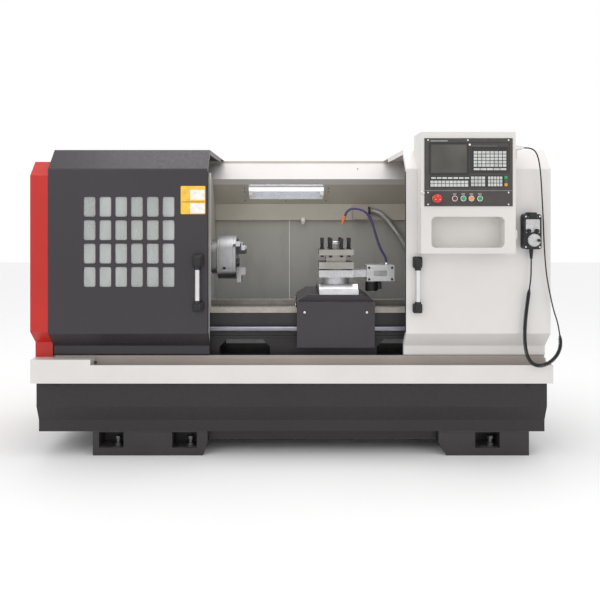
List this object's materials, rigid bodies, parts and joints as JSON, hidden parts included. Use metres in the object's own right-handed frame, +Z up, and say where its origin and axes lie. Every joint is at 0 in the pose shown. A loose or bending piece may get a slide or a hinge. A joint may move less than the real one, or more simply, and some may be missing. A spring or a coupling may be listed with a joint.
{
  "type": "cnc turning lathe",
  "caption": "Flat-bed CNC turning lathe with sliding doors, three-jaw chuck, four-way tool post, tailstock, door-mounted control box and hand pendant.",
  "frame": {"origin": "on the floor, under the middle of the machine's box, measured without the pendant's cable", "axes": "+X along the spindle from the headstock to the tailstock, +Y from the doors to the rear cabinet, +Z up"},
  "size_m": [2.757, 1.3, 1.694],
  "materials": {
    "stand_black": "semi-gloss powder coat",
    "foot_black": "painted casting",
    "bright_steel": "ground",
    "tray_white": "semi-gloss paint",
    "track_tan": "semi-gloss paint",
    "cover_red": "gloss paint",
    "way_steel": "hardened and ground ways on a dark casting",
    "guard_grey": "semi-gloss paint",
    "canopy_white": "semi-gloss paint",
    "lamp_white": "diffusing tube",
    "lamp_metal": "reflector",
    "conduit_metal": "corrugated armour",
    "motor_grey": "finned aluminium body, painted",
    "belt_rubber": "ribbed",
    "door_black": "semi-gloss powder coat",
    "pane_clear": "clear polycarbonate",
    "handle_black": "moulded",
    "box_white": "fine texture paint",
    "panel_black": "overlay film",
    "screen_dark": "display",
    "keys_light": "membrane keys",
    "stop_red": "moulded",
    "push_red": "moulded",
    "push_green": "moulded",
    "push_amber": "moulded",
    "pendant_black": "moulded",
    "cable_black": "jacket",
    "chrome": "polished",
    "slide_grey": "semi-gloss paint",
    "drive_silver": "machined",
    "hose_purple": "snap-together segments",
    "tool_steel": "ground and blued"
  },
  "bodies": {
    "machine_frame": {"base_stand": "stand_black", "left_foot": "foot_black", "right_foot": "foot_black", "levelling_screws": "bright_steel", "chip_tray": "tray_white", "front_track": "track_tan", "end_cover": "cover_red", "bed": "way_steel", "carriage_rail": "bright_steel", "headstock": "guard_grey", "headstock_guard": "guard_grey", "rear_guard": "guard_grey", "canopy": "canopy_white", "lamp_housing": "lamp_metal", "lamp_tube": "lamp_white", "conduit_boxes": "guard_grey", "wiring_conduit": "conduit_metal", "tail_guard": "guard_grey", "main_motor": "motor_grey", "drive_belt": "belt_rubber", "cabinet_body": "box_white", "coolant_pump": "motor_grey"},
    "rear_cabinet_door": {"cabinet_door": "box_white"},
    "left_door": {"left_door_panel": "door_black", "left_door_window": "pane_clear", "left_door_handle": "handle_black"},
    "right_door": {"right_door_panel": "tray_white", "right_door_handle": "handle_black", "control_box": "box_white", "cable_socket": "chrome", "pendant_cable": "cable_black", "pendant_coil": "cable_black", "pendant_body": "pendant_black"},
    "control_lid": {"control_front": "box_white", "control_panel": "panel_black", "control_screen": "screen_dark", "control_keys": "keys_light"},
    "stop_push": {"stop_button": "stop_red"},
    "red_push": {"button_red": "push_red"},
    "green_push": {"button_green": "push_green"},
    "amber_push": {"button_amber": "push_amber"},
    "start_push": {"button_start": "push_green"},
    "handwheel": {"pendant_wheel": "chrome"},
    "axis_selector": {"axis_knob": "pendant_black"},
    "step_selector": {"step_knob": "pendant_black"},
    "spindle_line": {"spindle": "tool_steel", "chuck_body": "tool_steel"},
    "first_jaw": {"jaw_1": "tool_steel"},
    "second_jaw": {"jaw_2": "tool_steel"},
    "third_jaw": {"jaw_3": "tool_steel"},
    "motor_line": {"motor_pulley": "tool_steel"},
    "carriage": {"saddle": "slide_grey", "apron_cover": "slide_grey"},
    "cross_carriage": {"cross_slide": "slide_grey", "turret_drive": "drive_silver", "coolant_hose": "hose_purple"},
    "tool_turret": {"turret_head": "tool_steel", "turret_screws": "handle_black"},
    "tailstock": {"tailstock_body": "guard_grey"},
    "quill": {"tailstock_quill": "tool_steel"}
  },
  "joints": [
    {"name": "left_door_slide", "type": "slide", "parent": "machine_frame", "child": "left_door", "axis": [1, 0, 0], "range_m": [0, 0.514]},
    {"name": "right_door_slide", "type": "slide", "parent": "machine_frame", "child": "right_door", "axis": [-1, 0, 0], "range_m": [0, 0.514]},
    {"name": "control_lid_hinge", "type": "hinge", "parent": "right_door", "child": "control_lid", "pos_m": [1.1365, -0.5944, 1.387], "axis": [0, 0, 1], "range_deg": [0, 100]},
    {"name": "stop_push_slide", "type": "slide", "parent": "control_lid", "child": "stop_push", "axis": [0, 1, 0], "range_m": [0, 0.004], "stiffness_N_per_m": 400},
    {"name": "red_push_slide", "type": "slide", "parent": "control_lid", "child": "red_push", "axis": [0, 1, 0], "range_m": [0, 0.003], "stiffness_N_per_m": 400},
    {"name": "green_push_slide", "type": "slide", "parent": "control_lid", "child": "green_push", "axis": [0, 1, 0], "range_m": [0, 0.003], "stiffness_N_per_m": 400},
    {"name": "amber_push_slide", "type": "slide", "parent": "control_lid", "child": "amber_push", "axis": [0, 1, 0], "range_m": [0, 0.003], "stiffness_N_per_m": 400},
    {"name": "start_push_slide", "type": "slide", "parent": "control_lid", "child": "start_push", "axis": [0, 1, 0], "range_m": [0, 0.003], "stiffness_N_per_m": 400},
    {"name": "handwheel_turn", "type": "hinge", "parent": "right_door", "child": "handwheel", "pos_m": [1.237, -0.568, 1.146], "axis": [0, 1, 0], "continuous": true},
    {"name": "axis_selector_turn", "type": "hinge", "parent": "right_door", "child": "axis_selector", "pos_m": [1.21, -0.568, 1.193], "axis": [0, 1, 0], "range_deg": [-90, 90]},
    {"name": "step_selector_turn", "type": "hinge", "parent": "right_door", "child": "step_selector", "pos_m": [1.251, -0.568, 1.193], "axis": [0, 1, 0], "range_deg": [-60, 60]},
    {"name": "spindle_turn", "type": "hinge", "parent": "machine_frame", "child": "spindle_line", "pos_m": [-0.451, -0.139, 1.035], "axis": [1, 0, 0], "continuous": true},
    {"name": "motor_turn", "type": "hinge", "parent": "machine_frame", "child": "motor_line", "pos_m": [-1.31, 0.28, 0.69], "axis": [1, 0, 0], "continuous": true},
    {"name": "carriage_slide", "type": "slide", "parent": "machine_frame", "child": "carriage", "axis": [1, 0, 0], "range_m": [-0.35, 0.25]},
    {"name": "cross_slide_travel", "type": "slide", "parent": "carriage", "child": "cross_carriage", "axis": [0, 1, 0], "range_m": [-0.08, 0.14]},
    {"name": "turret_turn", "type": "hinge", "parent": "cross_carriage", "child": "tool_turret", "pos_m": [0.245, -0.203, 0.977], "axis": [0, 0, 1], "continuous": true},
    {"name": "tailstock_slide", "type": "slide", "parent": "machine_frame", "child": "tailstock", "axis": [1, 0, 0], "range_m": [-0.15, 0.08]},
    {"name": "quill_slide", "type": "slide", "parent": "tailstock", "child": "quill", "axis": [1, 0, 0], "range_m": [-0.08, 0]},
    {"name": "cabinet_door_hinge", "type": "hinge", "parent": "machine_frame", "child": "rear_cabinet_door", "pos_m": [1.2065, 0.6384, 1.03], "axis": [0, 0, -1], "range_deg": [0, 110]},
    {"name": "first_jaw_slide", "type": "slide", "parent": "spindle_line", "child": "first_jaw", "axis": [0, -0.8387, 0.5446], "range_m": [-0.012, 0.012]},
    {"name": "second_jaw_slide", "type": "slide", "parent": "spindle_line", "child": "second_jaw", "axis": [0, -0.0523, -0.9986], "range_m": [-0.012, 0.012]},
    {"name": "third_jaw_slide", "type": "slide", "parent": "spindle_line", "child": "third_jaw", "axis": [0, 0.891, 0.454], "range_m": [-0.012, 0.012]}
  ],
  "couplings": [
    {"joint": "second_jaw_slide", "follows": "first_jaw_slide", "ratio": 1},
    {"joint": "third_jaw_slide", "follows": "first_jaw_slide", "ratio": 1},
    {"joint": "motor_turn", "follows": "spindle_turn", "ratio": 1.3333}
  ]
}
